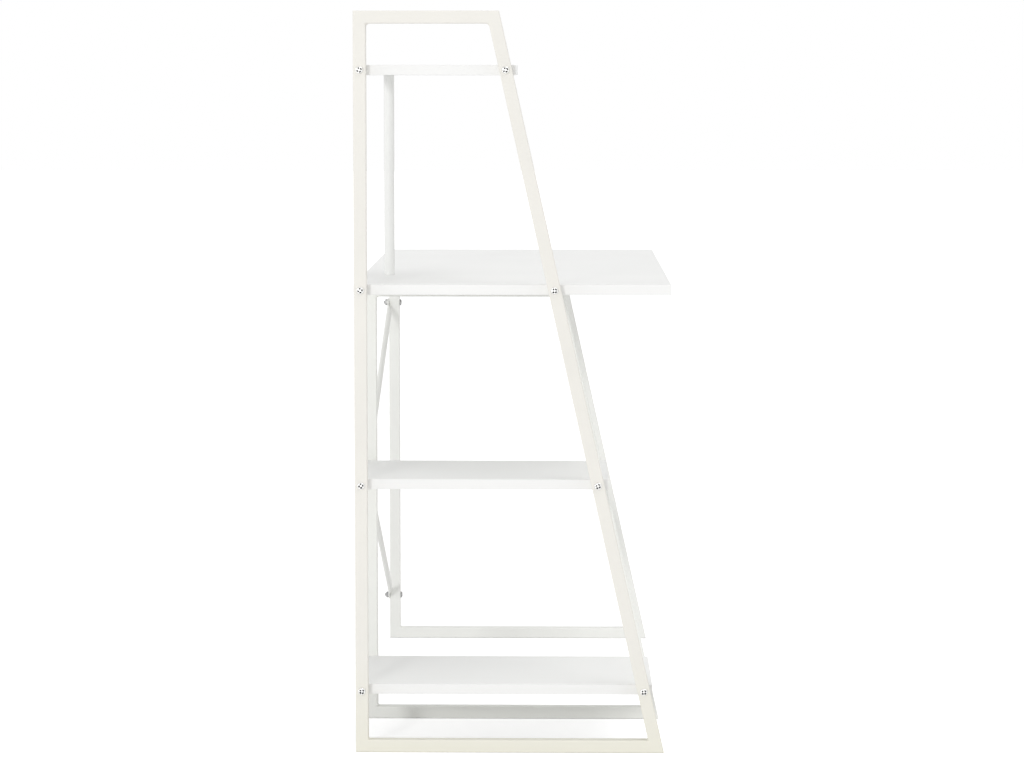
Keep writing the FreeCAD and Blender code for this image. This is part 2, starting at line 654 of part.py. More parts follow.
def stay(label, near_layer, far_level):
    """Round tube from the middle post to the right post, flattened where it is bolted.

    near_layer counts the tabs that lie between this one and the middle post. The tube's back
    is level with the back of the tab at the right post, so it runs in front of the nuts.
    """
    tab = number("sizes.tab")
    radius = number("sizes.stay") / 2
    near = FreeCAD.Vector(number(ROD_X), 0, number(STAYS_MEET))
    far = FreeCAD.Vector(number(RIGHT_POST_X), 0, number(far_level))
    span = (far - near).Length
    tube_y = tab - radius
    near_end, tube_start = flattened_end(0, 1, shared_flat(), tab * (near_layer + 1), tube_y)
    far_end, tube_end = flattened_end(span, -1, number("sizes.tab_flat"), tab, tube_y)
    axis = FreeCAD.Vector(1, 0, 0)
    foot = FreeCAD.Vector(tube_start, tube_y, 0)
    tube_length = tube_end - tube_start
    tube = Part.makeCylinder(radius, tube_length, foot, axis)
    bore = Part.makeCylinder(radius - number("sizes.stay_wall"), tube_length, foot, axis)
    item = doc.addObject("Part::Feature", label)
    item.Shape = tube.fuse([near_end, far_end]).removeSplitter().cut(bore)
    rise = math.degrees(stay_rise(far_level))
    origin = FreeCAD.Vector(number(ORIGIN_X), number(ORIGIN_Y), 0)
    turn = FreeCAD.Rotation(FreeCAD.Vector(0, 1, 0), -rise)
    item.Placement = FreeCAD.Placement(near - origin, turn)
    return keep(item)


stay("lower_stay", 0, "sizes.lower_stay_end")
stay("upper_stay", 1, "sizes.upper_stay_end")

stay_places = [(ROD_X, STAYS_MEET, 2), (RIGHT_POST_X, "sizes.upper_stay_end", 1),
               (RIGHT_POST_X, "sizes.lower_stay_end", 1)]
copies("stay_bolts", stay_bolt,
       [(x, "-sizes.tube", level, SHANK_BACK) for x, level, _ in stay_places])
copies("stay_nuts", hex_nut,
       [(x, f"{layers} * sizes.tab", level, NUT_FACING_BACK) for x, level, layers in stay_places])


# ---- checks and files ----

doc.recompute()
for item in doc.Objects:
    if "Invalid" in item.State or "Error" in item.State:
        raise RuntimeError(f"{item.Name} failed: {item.State}")
    if item.TypeId == "PartDesign::Pocket":
        if item.Shape.Volume > item.BaseFeature.Shape.Volume - 0.1:
            raise RuntimeError(f"{item.Name} cuts nothing")
for node in nodes:
    if node.Shape.isNull() or not node.Shape.isValid() or not node.Shape.Solids:
        raise RuntimeError(f"{node.Label} has no valid shape")

os.makedirs("parts", exist_ok=True)
for node in nodes:
    node.Shape.exportStep(f"parts/{node.Label}.step")
whole = Part.makeCompound([node.Shape for node in nodes]).optimalBoundingBox(False, False)
print(f"{len(nodes)} nodes, box {whole.XMin:.3f} {whole.YMin:.3f} {whole.ZMin:.3f} to "
      f"{whole.XMax:.3f} {whole.YMax:.3f} {whole.ZMax:.3f}")
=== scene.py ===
# %% [markdown]
# # A white ladder desk
#
# The desk is a flat-pack piece: three welded frames of square steel tube, four coated boards,
# a round rod, two thin stays and a handful of zinc-plated screws. Its construction is already
# fixed, every piece at its real size. This lesson adds what construction leaves out: the feel
# of powder coat, melamine and zinc, and the small forms that catch the light, such as weld
# beads, screw recesses, threads and the pressed ends of the stays.

# %% Load the fixed frame
import bmesh
import bpy
import json
import math
from mathutils import Matrix, Vector


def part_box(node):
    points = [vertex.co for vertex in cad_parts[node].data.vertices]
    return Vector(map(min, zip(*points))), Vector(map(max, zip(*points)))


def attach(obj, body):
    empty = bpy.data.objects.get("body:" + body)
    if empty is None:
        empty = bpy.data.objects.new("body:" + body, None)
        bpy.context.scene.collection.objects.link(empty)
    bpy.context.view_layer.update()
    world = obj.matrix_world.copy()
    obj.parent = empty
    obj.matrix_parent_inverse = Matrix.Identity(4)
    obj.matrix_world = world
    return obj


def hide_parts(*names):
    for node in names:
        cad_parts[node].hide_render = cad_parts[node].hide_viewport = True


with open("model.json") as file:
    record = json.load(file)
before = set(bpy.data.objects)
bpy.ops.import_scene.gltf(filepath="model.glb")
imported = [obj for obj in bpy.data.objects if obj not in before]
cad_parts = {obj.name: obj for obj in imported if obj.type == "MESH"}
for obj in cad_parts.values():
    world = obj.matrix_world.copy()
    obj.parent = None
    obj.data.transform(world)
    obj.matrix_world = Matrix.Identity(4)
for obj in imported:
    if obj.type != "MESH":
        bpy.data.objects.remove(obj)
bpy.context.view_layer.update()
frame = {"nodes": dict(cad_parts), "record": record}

# %% [markdown]
# ## Where the desk stands and how it is seen
#
# The desk is seen from its shelf end, a little above the desktop, through a long lens from
# nearly five metres away. From there the three frames line up one behind the other. The camera
# looks down by five degrees, and a small shift of the lens saves it a little more tilt, so the
# posts lean together by hardly a hair. A level camera with a large shift would keep them quite
# upright, but the shift goes along to every other view, where it would push the desk out of
# the picture.

# %% Camera at the shelf end of the desk
MM = 0.001
post_low, post_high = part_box("left_rear_post")
LEFT_FACE = post_low.x
POST_REAR = post_high.y


def from_corner(right, forward, up):
    """Point in metres from distances in millimetres to the left frame's rear foot corner."""
    return Vector((LEFT_FACE + right * MM, POST_REAR - forward * MM, up * MM))


FOCAL_PIXELS = 3071.2
SENSOR_WIDTH = 36.0
PICTURE_WIDTH = 1024
LENS_SHIFT = -0.036
CAMERA_PLACE = (-4793.2, 319.1, 1066.0)
LOOKS_DOWN = math.radians(5.013)
LOOKS_BACK = math.radians(0.852)

camera_data = bpy.data.cameras.new("shelf_end_view")
camera_data.sensor_width = SENSOR_WIDTH
camera_data.lens = SENSOR_WIDTH * FOCAL_PIXELS / PICTURE_WIDTH
camera_data.shift_y = LENS_SHIFT
camera = bpy.data.objects.new("shelf_end_view", camera_data)
camera.location = from_corner(*CAMERA_PLACE)
line_of_sight = Vector((math.cos(LOOKS_DOWN) * math.cos(LOOKS_BACK),
                        math.cos(LOOKS_DOWN) * math.sin(LOOKS_BACK), -math.sin(LOOKS_DOWN)))
camera.rotation_euler = line_of_sight.to_track_quat("-Z", "Y").to_euler()
bpy.context.scene.collection.objects.link(camera)
bpy.context.scene.camera = camera
print("camera", tuple(round(v, 3) for v in camera.location), "lens", round(camera_data.lens, 1))

# %% [markdown]
# ## A white studio
#
# White furniture on a white ground needs light that is soft but not the same from all sides,
# or its edges vanish. A bright white room does most of the work. A round softbox stands beyond
# the camera, to the rear of its line of sight and a little above it: it makes the faces towards
# the shelf end lightest, and its long shadows draw each stay across the right post. Three broad
# lamps, set as suns with wide discs so that they have no distance to tune, fill in from the
# rear, from above and, very faintly, from the user's side. The high one looks in under each
# board, so a shelf is lighter near its open edges than deep in its bay.

# %% World that lights softly and is seen as white
bpy.context.scene.view_settings.view_transform = "Standard"
WORLD_LIGHT = 0.68
WORLD_SEEN = 1.0
WHITE = (1, 1, 1, 1)


def seen_directly(tree):
    """Socket that is 1 for rays from the camera, from gloss and through glass, else 0."""
    path = tree.nodes.new("ShaderNodeLightPath")
    either = tree.nodes.new("ShaderNodeMath")
    either.operation = "MAXIMUM"
    every = tree.nodes.new("ShaderNodeMath")
    every.operation = "MAXIMUM"
    tree.links.new(path.outputs["Is Camera Ray"], either.inputs[0])
    tree.links.new(path.outputs["Is Glossy Ray"], either.inputs[1])
    tree.links.new(either.outputs[0], every.inputs[0])
    tree.links.new(path.outputs["Is Transmission Ray"], every.inputs[1])
    return every.outputs[0]


world = bpy.data.worlds.new("studio")
bpy.context.scene.world = world
world.use_nodes = True
tree = world.node_tree
tree.nodes.clear()
grounds = []
for strength in (WORLD_LIGHT, WORLD_SEEN):
    ground = tree.nodes.new("ShaderNodeBackground")
    ground.inputs["Color"].default_value = WHITE
    ground.inputs["Strength"].default_value = strength
    grounds.append(ground.outputs[0])
mix = tree.nodes.new("ShaderNodeMixShader")
output = tree.nodes.new("ShaderNodeOutputWorld")
tree.links.new(seen_directly(tree), mix.inputs["Fac"])
tree.links.new(grounds[0], mix.inputs[1])
tree.links.new(grounds[1], mix.inputs[2])
tree.links.new(mix.outputs[0], output.inputs["Surface"])
print("room light", WORLD_LIGHT)


# %% Broad lamps
def broad_lamp(name, towards, angle, strength):
    """Sun with a wide disc, in the direction in which it is seen from the desk."""
    data = bpy.data.lights.new(name, "SUN")
    data.angle = math.radians(angle)
    data.energy = strength
    lamp = bpy.data.objects.new(name, data)
    lamp.rotation_euler = (-Vector(towards)).to_track_quat("-Z", "Y").to_euler()
    bpy.context.scene.collection.objects.link(lamp)


for name, towards, angle, strength in (
        ("front_lamp", (-0.085, -0.974, 0.208), 40, 0.08),
        ("rear_lamp", (-0.337, 0.927, 0.165), 40, 0.42),
        ("high_lamp", (-0.203, -0.457, 0.866), 46, 0.66)):
    broad_lamp(name, towards, angle, strength)
    print(name, strength)

# %% Round softbox beside the camera
SOFTBOX_WIDTH = 0.9
SOFTBOX_POWER = 110.0
SOFTBOX_PLACE = (-6500, -1850, 2050)
SOFTBOX_AIM = (500, 250, 500)

softbox_data = bpy.data.lights.new("softbox", "AREA")
softbox_data.shape = "DISK"
softbox_data.size = SOFTBOX_WIDTH
softbox_data.energy = SOFTBOX_POWER
softbox = bpy.data.objects.new("softbox", softbox_data)
softbox.location = from_corner(*SOFTBOX_PLACE)
aim = from_corner(*SOFTBOX_AIM) - softbox.location
softbox.rotation_euler = aim.to_track_quat("-Z", "Y").to_euler()
bpy.context.scene.collection.objects.link(softbox)
print("softbox", SOFTBOX_WIDTH, "m wide,", SOFTBOX_POWER, "W")

# %% [markdown]
# ## The ground
#
# The ground is a plain matt sheet. Lit like the desk it would come out light grey, so it gives
# off a little light of its own, but only to the camera and to reflections: the desk gets no
# light from that, and the sheet still darkens where the bars shade it.

# %% Pale floor
HALF_FLOOR = 30.0
FLOOR_BELOW = 0.0002
FLOOR_WHITE = 0.86
FLOOR_LIFT = 0.42

floor_data = bpy.data.meshes.new("floor")
corners = [(x * HALF_FLOOR, y * HALF_FLOOR, 0) for x, y in ((-1, -1), (1, -1), (1, 1), (-1, 1))]
floor_data.from_pydata(corners, [], [(0, 1, 2, 3)])
floor = bpy.data.objects.new("floor", floor_data)
floor.location.z = -FLOOR_BELOW
bpy.context.scene.collection.objects.link(floor)

floor_paint = bpy.data.materials.new("studio_floor")
floor_paint.use_nodes = True
tree = floor_paint.node_tree
tree.nodes.clear()
matt = tree.nodes.new("ShaderNodeBsdfDiffuse")
matt.inputs["Color"].default_value = (FLOOR_WHITE, FLOOR_WHITE, FLOOR_WHITE, 1)
lift = tree.nodes.new("ShaderNodeEmission")
lift.inputs["Color"].default_value = WHITE
share = tree.nodes.new("ShaderNodeMath")
share.operation = "MULTIPLY"
share.inputs[1].default_value = FLOOR_LIFT
both = tree.nodes.new("ShaderNodeAddShader")
output = tree.nodes.new("ShaderNodeOutputMaterial")
tree.links.new(seen_directly(tree), share.inputs[0])
tree.links.new(share.outputs[0], lift.inputs["Strength"])
tree.links.new(matt.outputs[0], both.inputs[0])
tree.links.new(lift.outputs[0], both.inputs[1])
tree.links.new(both.outputs[0], output.inputs["Surface"])
floor_data.materials.append(floor_paint)
print("floor", 2 * HALF_FLOOR, "m wide")

# %% [markdown]
# ## Finishes, built from grains
#
# Each finish is made of the same few things at its own scale: a slow change of colour that
# tells one panel from the next, a fine grain that breaks up the gloss, and tiny heights. The
# grains are noise in the desk's own metres, so a scale of 700 is 700 waves in a metre, the
# same on every piece. Painted pictures of each surface would also do, but they need unwrapped
# pieces and don't stay sharp up close.

# %% Materials and grains
def new_finish(name, **constants):
    """Material with some of its shader's sockets set, and its node tree and shader."""
    material = bpy.data.materials.new(name)
    material.use_nodes = True
    shader = material.node_tree.nodes["Principled BSDF"]
    for socket, value in constants.items():
        shader.inputs[socket.replace("_", " ")].default_value = value
    return material, material.node_tree, shader


def where(tree, output="Object", stretch=(1, 1, 1)):
    """Place on the piece, each axis stretched by a factor."""
    place = tree.nodes.new("ShaderNodeTexCoord")
    mapping = tree.nodes.new("ShaderNodeMapping")
    mapping.inputs["Scale"].default_value = stretch
    tree.links.new(place.outputs[output], mapping.inputs["Vector"])
    return mapping.outputs[0]


def grain(tree, scale, detail=2.0, stretch=(1, 1, 1)):
    """Noise between 0 and 1 with a number of waves in a metre."""
    noise = tree.nodes.new("ShaderNodeTexNoise")
    noise.inputs["Scale"].default_value = scale
    noise.inputs["Detail"].default_value = detail
    tree.links.new(where(tree, stretch=stretch), noise.inputs["Vector"])
    return noise.outputs[0]


print("helpers ready for materials and grains")


# %% Ranges, colours and bumps
def spread(tree, value, low, high, start=0.3, end=0.7):
    """The value's middle range, stretched from low to high."""
    ramp = tree.nodes.new("ShaderNodeMapRange")
    for socket, number in (("From Min", start), ("From Max", end), ("To Min", low),
                           ("To Max", high)):
        ramp.inputs[socket].default_value = number
    tree.links.new(value, ramp.inputs["Value"])
    return ramp.outputs[0]


def blend_colors(tree, share, first, second):
    """Mix of two colours, each a plain colour or a socket, by a share."""
    mix = tree.nodes.new("ShaderNodeMix")
    mix.data_type = "RGBA"
    tree.links.new(share, mix.inputs[0])
    for socket, color in ((mix.inputs[6], first), (mix.inputs[7], second)):
        if isinstance(color, tuple):
            socket.default_value = (*color, 1)
        else:
            tree.links.new(color, socket)
    return mix.outputs[2]


def raise_bumps(tree, shader, heights):
    """Stack of bumps, each a socket between 0 and 1 and its height in millimetres."""
    under = None
    for value, height in heights:
        bump = tree.nodes.new("ShaderNodeBump")
        bump.inputs["Strength"].default_value = 1.0
        bump.inputs["Distance"].default_value = height * MM
        tree.links.new(value, bump.inputs["Height"])
        if under is not None:
            tree.links.new(under, bump.inputs["Normal"])
        under = bump.outputs[0]
    tree.links.new(under, shader.inputs["Normal"])


print("helpers ready for ranges, colours and bumps")

# %% [markdown]
# ## Powder coat
#
# The frames, the rod and the stays are sprayed with dry white powder that melts to a thick satin
# skin. Up close it has orange peel, shallow waves a millimetre or two long, with a finer grit on
# top, and the gloss changes with it. The thickness of the skin drifts over a hand's width, and its
# shade drifts with it. The left frame is a touch warmer than the boards, and turns creamier and a
# little darker towards the floor. The middle frame is painted cleaner and lighter, and the right
# one and the stays cooler and lighter still. This extra lightness is painted light, which makes up
# for the light that the farther frames get less of. The rod has a smoother and glossier skin. Each
# white is given as the two shades that it drifts between, and one helper makes them all.

# %% Powder coat on steel
WARM_WHITE = ((0.812, 0.795, 0.748), (0.836, 0.818, 0.769))
# The middle and right whites are lighter copies of the frame white: painted light.
CLEAN_WHITE_PAINTED_LIGHTER = ((0.862, 0.866, 0.830), (0.886, 0.890, 0.854))
COOL_WHITE_PAINTED_LIGHTER = ((0.872, 0.875, 0.844), (0.894, 0.897, 0.866))
ROD_WHITE = ((0.832, 0.836, 0.820), (0.856, 0.860, 0.844))
FOOT_CREAM = (0.812, 0.797, 0.703)
FOOT_HEIGHT = 0.16
COAT_DRIFT, COAT_PEEL, COAT_SPECKS, COAT_GRIT = 9, 620, 1500, 2600
SPECK_SHADE = 0.95
SPECK_RANGE = (0.62, 0.78)
GRIT_HEIGHT = 0.006
FRAME_GLOSS, ROD_GLOSS = (0.42, 0.54), (0.18, 0.26)
FRAME_PEEL, ROD_PEEL = 0.035, 0.012
FRAME_SPECULAR, ROD_SPECULAR = 0.15, 0.25


def powder_coat(name, darker, lighter, gloss, peel_height, specular=FRAME_SPECULAR, foot=None):
    """Paint between two whites, with the range of its roughness and its waves in millimetres.
    The foot is the colour that it turns to near the floor."""
    material, tree, shader = new_finish(name, Specular_IOR_Level=specular)
    drift = spread(tree, grain(tree, COAT_DRIFT), 0, 1)
    shade = blend_colors(tree, drift, darker, lighter)
    if foot is not None:
        height = tree.nodes.new("ShaderNodeSeparateXYZ")
        tree.links.new(where(tree), height.inputs[0])
        near_floor = spread(tree, height.outputs["Z"], 1, 0, 0.0, FOOT_HEIGHT)
        shade = blend_colors(tree, near_floor, shade, foot)
    specks = spread(tree, grain(tree, COAT_SPECKS, 1), 0, 1, *SPECK_RANGE)
    speck = tuple(SPECK_SHADE * channel for channel in darker)
    tree.links.new(blend_colors(tree, specks, shade, speck), shader.inputs["Base Color"])
    peel = grain(tree, COAT_PEEL, 1)
    tree.links.new(spread(tree, peel, *gloss), shader.inputs["Roughness"])
    raise_bumps(tree, shader, [(peel, peel_height), (grain(tree, COAT_GRIT, 2), GRIT_HEIGHT)])
    return material


finishes = {"white_paint": powder_coat("warm_coat", *WARM_WHITE, FRAME_GLOSS, FRAME_PEEL,
                                       foot=FOOT_CREAM)}
# Lighter copies for the middle and right frames and the stays: painted light.
clean_paint_lighter = powder_coat("clean_coat_painted_lighter", *CLEAN_WHITE_PAINTED_LIGHTER, FRAME_GLOSS, FRAME_PEEL)
cool_paint_lighter = powder_coat("cool_coat_painted_lighter", *COOL_WHITE_PAINTED_LIGHTER, FRAME_GLOSS, FRAME_PEEL)
rod_paint = powder_coat("rod_coat", *ROD_WHITE, ROD_GLOSS, ROD_PEEL, ROD_SPECULAR)


def paint_of(name):
    """Paint on a piece, from the start of its name. The middle and right frames and the stays get
    the lighter copies, which carry painted light.
    """
    if name.startswith("middle"):
        return clean_paint_lighter
    if name.startswith(("right", "upper", "lower")):
        return cool_paint_lighter
    return finishes["white_paint"]


print("paints", [paint_of(name).name for name in ("left", "middle", "right")], rod_paint.name)

# %% [markdown]
# ## Melamine on chipboard
#
# The boards are chipboard between two sheets of hard white melamine, pressed against a plate
# with a fine pearl texture. The sheets only cover the top and the underside: inside the bolt
# holes the raw chips show. Both are one material here, and the height within the board says
# which one it is, so the holes need no faces picked by hand.

# %% Board faces and the chips inside
FACE_WHITE = ((0.890, 0.893, 0.880), (0.911, 0.914, 0.902))
CHIP_BROWN = ((0.42, 0.29, 0.17), (0.68, 0.53, 0.36))
CHIPS, CHIP_STRETCH = 420, (0.5, 0.5, 1.6)
FACE_DRIFT, FACE_SWELL, FACE_PEARL = 5, 45, 2100
SWELL_HEIGHT, PEARL_HEIGHT = 0.03, 0.010
FACE_GLOSS = (0.42, 0.54)
SHEET_STARTS = (0.488, 0.492)
FACE_IOR = 1.5


def melamine():
    """Board finish: white sheets on chips, told apart by the distance from mid-height."""
    material, tree, shader = new_finish("melamine", IOR=FACE_IOR)
    drift = spread(tree, grain(tree, FACE_DRIFT), 0, 1)
    face = blend_colors(tree, drift, *FACE_WHITE)

    chips = tree.nodes.new("ShaderNodeTexVoronoi")
    chips.inputs["Scale"].default_value = CHIPS
    tree.links.new(where(tree, stretch=CHIP_STRETCH), chips.inputs["Vector"])
    tone = tree.nodes.new("ShaderNodeSeparateColor")
    tree.links.new(chips.outputs["Color"], tone.inputs[0])
    wood = blend_colors(tree, tone.outputs[0], *CHIP_BROWN)

    height = tree.nodes.new("ShaderNodeSeparateXYZ")
    tree.links.new(where(tree, "Generated"), height.inputs[0])
    off_middle = tree.nodes.new("ShaderNodeMath")
    off_middle.operation = "SUBTRACT"
    off_middle.inputs[1].default_value = 0.5
    tree.links.new(height.outputs["Z"], off_middle.inputs[0])
    distance = tree.nodes.new("ShaderNodeMath")
    distance.operation = "ABSOLUTE"
    tree.links.new(off_middle.outputs[0], distance.inputs[0])
    on_face = spread(tree, distance.outputs[0], 0, 1, *SHEET_STARTS)

    tree.links.new(blend_colors(tree, on_face, wood, face), shader.inputs["Base Color"])
    pearl = grain(tree, FACE_PEARL, 2)
    tree.links.new(spread(tree, pearl, *FACE_GLOSS), shader.inputs["Roughness"])
    raise_bumps(tree, shader, [(pearl, PEARL_HEIGHT),
                               (grain(tree, FACE_SWELL, 1), SWELL_HEIGHT)])
    return material


finishes["white_board"] = melamine()
print(list(finishes))

# %% [markdown]
# ## Edge band
#
# The board edges are closed with a thin plastic band, glued on and trimmed round. It is a shade
# greyer than the melamine and a little glossier. The rollers that press it on draw faint lines
# along it, so its grain is noise that is pressed flat in height: long waves along the edge and
# short ones across it. Grooves cut as faces would take thousands of them, for something that is
# thinner than a hair.

# %% Edge band with drawn lines
BAND_WHITE = ((0.861, 0.861, 0.850), (0.877, 0.877, 0.866))
LINE_WHITE = (0.840, 0.840, 0.830)
BAND_DRIFT, BAND_LINES, BAND_GRIT = 6, 12, 1700
LINE_STRETCH = (1, 1, 140)
LINE_RANGE = (0.6, 0.85)
LINE_HEIGHT = 0.012
BAND_GLOSS = (0.34, 0.46)
BAND_IOR = 1.46


def edge_band():
    """Plastic strip with faint lines along it."""
    material, tree, shader = new_finish("edge_band", IOR=BAND_IOR)
    drift = spread(tree, grain(tree, BAND_DRIFT), 0, 1)
    lines = grain(tree, BAND_LINES, 3, stretch=LINE_STRETCH)
    shade = blend_colors(tree, drift, *BAND_WHITE)
    faint = spread(tree, lines, 0, 1, *LINE_RANGE)
    tree.links.new(blend_colors(tree, faint, shade, LINE_WHITE), shader.inputs["Base Color"])
    tree.links.new(spread(tree, lines, *BAND_GLOSS), shader.inputs["Roughness"])
    raise_bumps(tree, shader, [(lines, LINE_HEIGHT), (grain(tree, BAND_GRIT, 1), GRIT_HEIGHT)])
    return material


finishes["white_edging"] = edge_band()
print(list(finishes))

# %% [markdown]
# ## Zinc plate
#
# Screws and nuts are steel with a thin bright layer of zinc. It is a metal that mirrors the room,
# but tumbling in the plating drum leaves it cloudy, with small scratches, and the clear coat on
# top tints it from a cool grey to straw. The stays' screws and nuts get a much darker copy of the
# same zinc, which is painted shade for the dark that they mirror. The walls of a screw's recess
# get a near-black metal, which is painted shade for the dark inside the deep arms. A grey paint
# wouldn't do for the zinc itself, because a metal takes its lights and darks from what it mirrors.
# So the shader is a metal, and only its tint, its haze and its scratches are drawn. Each zinc is
# given as its two shades and the grey of its scratches.

# %% Bright zinc, darker zinc with painted shade, and painted shade in a recess
BRIGHT_ZINC = ((0.73, 0.735, 0.735), (0.82, 0.815, 0.79), (0.62, 0.62, 0.62))
# A much darker copy of the zinc for the stays' hardware: painted shade.
ZINC_PAINTED_SHADE_TONES = ((0.30, 0.305, 0.31), (0.39, 0.385, 0.375), (0.22, 0.22, 0.22))
# Near-black painted shade for the walls of a recess.
RECESS_SHADE_GREYS = ((0.018, 0.018, 0.017), (0.055, 0.054, 0.052))
ZINC_CLOUD, ZINC_SCRATCHES, ZINC_WEAR = 260, 900, 1800
SCRATCH_STRETCH = (1, 4, 1)
SCRATCH_HEIGHT = 0.008
WEAR_RANGE = (0.6, 0.8)
ZINC_GLOSS, RECESS_GLOSS = (0.24, 0.42), (0.6, 0.8)
RECESS_SHADE_DRIFT, RECESS_DRAG = 1400, 2400
DRAG_HEIGHT = 0.01


def zinc_plate(name, cool, straw, scratched):
    """Cloudy zinc between two shades, with the grey of its worn places."""
    material, tree, shader = new_finish(name, Metallic=1.0)
    cloud = spread(tree, grain(tree, ZINC_CLOUD, 3), 0, 1)
    shade = blend_colors(tree, cloud, cool, straw)
    worn = spread(tree, grain(tree, ZINC_WEAR, 2), 0, 1, *WEAR_RANGE)
    tree.links.new(blend_colors(tree, worn, shade, scratched), shader.inputs["Base Color"])
    scratches = grain(tree, ZINC_SCRATCHES, 3, stretch=SCRATCH_STRETCH)
    tree.links.new(spread(tree, scratches, *ZINC_GLOSS), shader.inputs["Roughness"])
    raise_bumps(tree, shader, [(scratches, SCRATCH_HEIGHT)])
    return material


def recess_painted_shade():
    """Near-black painted shade for the walls of a recess, with the drag marks of the punch."""
    material, tree, shader = new_finish("recess_painted_shade", Metallic=1.0)
    shade_drift = spread(tree, grain(tree, RECESS_SHADE_DRIFT, 3), 0, 1)
    tree.links.new(blend_colors(tree, shade_drift, *RECESS_SHADE_GREYS), shader.inputs["Base Color"])
    drag = grain(tree, RECESS_DRAG, 2)
    tree.links.new(spread(tree, drag, *RECESS_GLOSS), shader.inputs["Roughness"])
    raise_bumps(tree, shader, [(drag, DRAG_HEIGHT)])
    return material


finishes["zinc_hardware"] = zinc_plate("bright_zinc", *BRIGHT_ZINC)
zinc_painted_shade = zinc_plate("zinc_painted_shade", *ZINC_PAINTED_SHADE_TONES)
# The walls of each recess get a near-black finish: painted shade.
recess_shade_finish = recess_painted_shade()
slots = {part["node"]: part["material_slot"] for part in frame["record"]["subparts"]}
for name, node in frame["nodes"].items():
    painted = slots[name] == "white_paint"
    for place in node.material_slots:
        place.material = paint_of(name) if painted else finishes[slots[name]]
print(len(slots), "pieces have a finish")

# %% [markdown]
# ## Tools for small forms
#
# The square tubes and the boards are right as they are constructed: rounded, mitred and bored.
# The small things deserve more. Each is drawn as loops of points joined by skins, the way a
# lathe or a press would form it. Where a copy belongs is read from the constructed piece that
# it replaces, so nothing can drift from its seat.

# %% Reading places from the constructed pieces
SAME_POINT_DIGITS = 6
SAME_ROW_DIGITS = 3


def solids_of(node):
    """Each separate solid of a node: its lowest and highest corner and its points. The highest
    come first, and of one height the rear ones."""
    mesh = frame["nodes"][node].data
    keys = [tuple(round(c, SAME_POINT_DIGITS) for c in v.co) for v in mesh.vertices]
    group = {key: key for key in keys}

    def root(key):
        while group[key] != key:
            group[key] = group[group[key]]
            key = group[key]
        return key

    for edge in mesh.edges:
        group[root(keys[edge.vertices[0]])] = root(keys[edge.vertices[1]])
    parts = {}
    for key in group:
        parts.setdefault(root(key), []).append(Vector(key))
    solids = []
    for points in parts.values():
        low = Vector([min(p[axis] for p in points) for axis in range(3)])
        high = Vector([max(p[axis] for p in points) for axis in range(3)])
        solids.append((low, high, points))
    return sorted(solids, key=lambda s: (-round(s[0].z, SAME_ROW_DIGITS),
                                         -round(s[0].y, SAME_ROW_DIGITS), s[0].x))


print("left frame bolts at", [tuple(round(c, 3) for c in low) for low, _, _ in
                              solids_of("left_frame_bolts")])


# %% Loops and skins
def loop(bm, points):
    """Vertices in a ring, given in order in millimetres."""
    return [bm.verts.new(Vector(point) * MM) for point in points]


def circle(radius, height, around):
    """Points of a circle about Z."""
    return [(radius * math.cos(math.tau * n / around), radius * math.sin(math.tau * n / around),
             height) for n in range(around)]


def skin(bm, low, high):
    """Faces between two loops with as many vertices."""
    for n in range(len(low)):
        after = (n + 1) % len(low)
        bm.faces.new((low[n], low[after], high[after], high[n]))


def skin_all(bm, loops, closed=False):
    """Skins a row of loops. The ends are capped, or the last loop joins the first."""
    for low, high in zip(loops, loops[1:]):
        skin(bm, low, high)
    if closed:
        skin(bm, loops[-1], loops[0])
    else:
        bm.faces.new(loops[0])
        bm.faces.new(loops[-1])


def to_mesh(bm, name):
    """Finished mesh with its faces turned outwards."""
    bmesh.ops.recalc_face_normals(bm, faces=bm.faces)
    mesh = bpy.data.meshes.new(name)
    bm.to_mesh(mesh)
    bm.free()
    return mesh


print("helpers ready for loops and skins")

# %% Carving
FINISHES_CARVED = 2


def carve(mesh, cutter):
    """Mesh with a closed cutter taken out of it. Cut faces keep the cutter's finish numbers."""
    block = bpy.data.objects.new("block", mesh)
    tool = bpy.data.objects.new("tool", cutter)
    for item in (block, tool):
        bpy.context.scene.collection.objects.link(item)
        while len(item.data.materials) < FINISHES_CARVED:
            item.data.materials.append(None)
    cut = block.modifiers.new("cut", "BOOLEAN")
    cut.operation = "DIFFERENCE"
    cut.solver = "EXACT"
    cut.material_mode = "INDEX"
    cut.object = tool
    bpy.context.view_layer.update()
    graph = bpy.context.evaluated_depsgraph_get()
    carved = bpy.data.meshes.new_from_object(block.evaluated_get(graph))
    for item in (block, tool):
        bpy.data.objects.remove(item)
    return carved


print("helper ready for carving, with", FINISHES_CARVED, "finishes on a mesh")

# %% Adding a piece
SHARP_ANGLE = math.radians(32)


def add_piece(name, copies, slot, stands_for, coats=None):
    """Puts a piece made of copies of meshes, each with its placement, in the place of a node."""
    bm = bmesh.new()
    for mesh, placement in copies:
        before = len(bm.verts)
        bm.from_mesh(mesh)
        bm.verts.ensure_lookup_table()
        bmesh.ops.transform(bm, matrix=placement, verts=bm.verts[before:])
    for face in bm.faces:
        face.smooth = True
    for edge in bm.edges:
        edge.smooth = len(edge.link_faces) == 2 and edge.calc_face_angle() < SHARP_ANGLE
    data = bpy.data.meshes.new(name)
    bm.to_mesh(data)
    bm.free()
    for coat in coats or [finishes[slot]]:
        data.materials.append(coat)
    piece = bpy.data.objects.new(name, data)
    bpy.context.scene.collection.objects.link(piece)
    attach(piece, "root")
    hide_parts(stands_for)
    print(name, len(data.polygons), "faces")


print("edges over", round(math.degrees(SHARP_ANGLE)), "degrees stay sharp")

